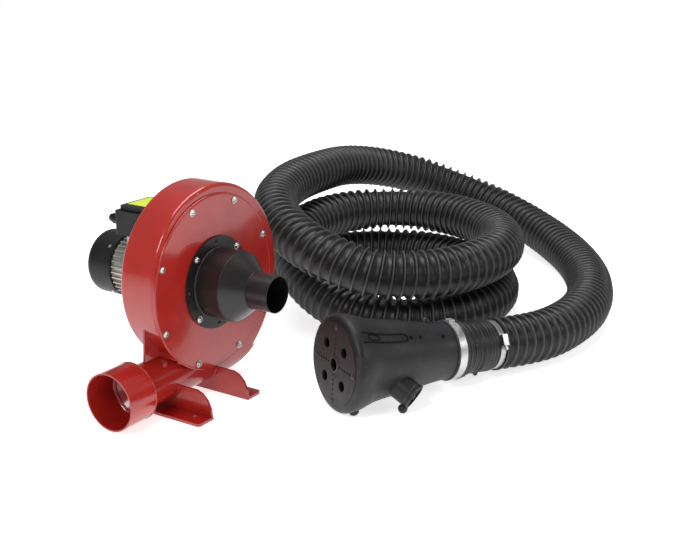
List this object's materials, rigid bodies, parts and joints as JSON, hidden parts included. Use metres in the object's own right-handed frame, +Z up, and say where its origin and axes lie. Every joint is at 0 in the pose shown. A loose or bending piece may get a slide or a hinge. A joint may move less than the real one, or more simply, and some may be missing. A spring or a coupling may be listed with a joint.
{
  "type": "fume extraction blower",
  "caption": "Centrifugal fume extraction blower on two angle feet with a motor behind, an inlet spigot, a ribbed hose and a rubber nozzle.",
  "frame": {"origin": "on the floor under the fan axis, in the front face of the cover plate", "axes": "+Z up, -Y out of the inlet along the fan axis, -X out of the outlet, +Y towards the motor"},
  "size_m": [1.7079, 1.0138, 0.4503],
  "materials": {
    "red_paint": "gloss red powder coat over formed sheet steel",
    "black_paint": "satin black powder coat",
    "black_plastic": "moulded black plastic",
    "motor_aluminium": "die-cast aluminium with grey paint",
    "zinc_steel": "bright zinc-plated steel",
    "bare_steel": "machined steel",
    "gasket_rubber": "sheet rubber",
    "nozzle_rubber": "moulded black rubber with a dull sheen",
    "hose_rubber": "ribbed black rubberised fabric",
    "winding_copper": "enamelled copper wire",
    "sticker": "plain yellow-green film",
    "impeller_steel": "black painted sheet steel"
  },
  "bodies": {
    "root": {"cable_gland": "black_plastic", "cover_gasket": "gasket_rubber", "cover_plate": "red_paint", "cover_screws": "zinc_steel", "drive_end_bearing": "bare_steel", "drive_end_shield": "motor_aluminium", "extraction_hose": "hose_rubber", "fan_cover": "black_plastic", "fan_cover_screws": "zinc_steel", "far_side_foot": "red_paint", "hose_end_cuff": "nozzle_rubber", "inlet_adapter": "black_paint", "inlet_gasket": "gasket_rubber", "inlet_screws": "zinc_steel", "motor_frame": "motor_aluminium", "motor_mounting_screws": "zinc_steel", "neck_band_clamp": "zinc_steel", "nozzle_body": "nozzle_rubber", "nozzle_hose_cuff": "nozzle_rubber", "outlet_side_foot": "red_paint", "rating_plate_blank": "sticker", "rear_end_bearing": "bare_steel", "rear_end_shield": "motor_aluminium", "run_capacitor": "black_plastic", "stator_core": "bare_steel", "stator_windings": "winding_copper", "terminal_block": "black_plastic", "terminal_box": "black_plastic", "terminal_box_lid": "black_plastic", "throat_gusset": "red_paint", "volute_casing": "red_paint", "worm_clamp_band": "zinc_steel", "worm_clamp_housing": "zinc_steel"},
    "rotor": {"motor_shaft": "bare_steel", "rotor_core": "bare_steel", "shaft_key": "bare_steel", "impeller": "impeller_steel", "impeller_washer": "zinc_steel", "impeller_bolt": "zinc_steel", "cooling_fan": "black_plastic"},
    "clamp_screw": {"worm_clamp_screw": "zinc_steel"},
    "port_cap": {"probe_port_cap": "nozzle_rubber"}
  },
  "joints": [
    {"name": "rotor_spin", "type": "hinge", "parent": "root", "child": "rotor", "pos_m": [0, 0.1, 0.245], "axis": [0, 1, 0], "continuous": true},
    {"name": "clamp_screw_turn", "type": "hinge", "parent": "root", "child": "clamp_screw", "pos_m": [0.36799, -0.48551, 0.09907], "axis": [-0.2809, -0.3825, -0.8802], "continuous": true},
    {"name": "port_cap_pull", "type": "slide", "parent": "root", "child": "port_cap", "axis": [0.0814, -0.8664, -0.4927], "range_m": [0, 0.02]}
  ]
}
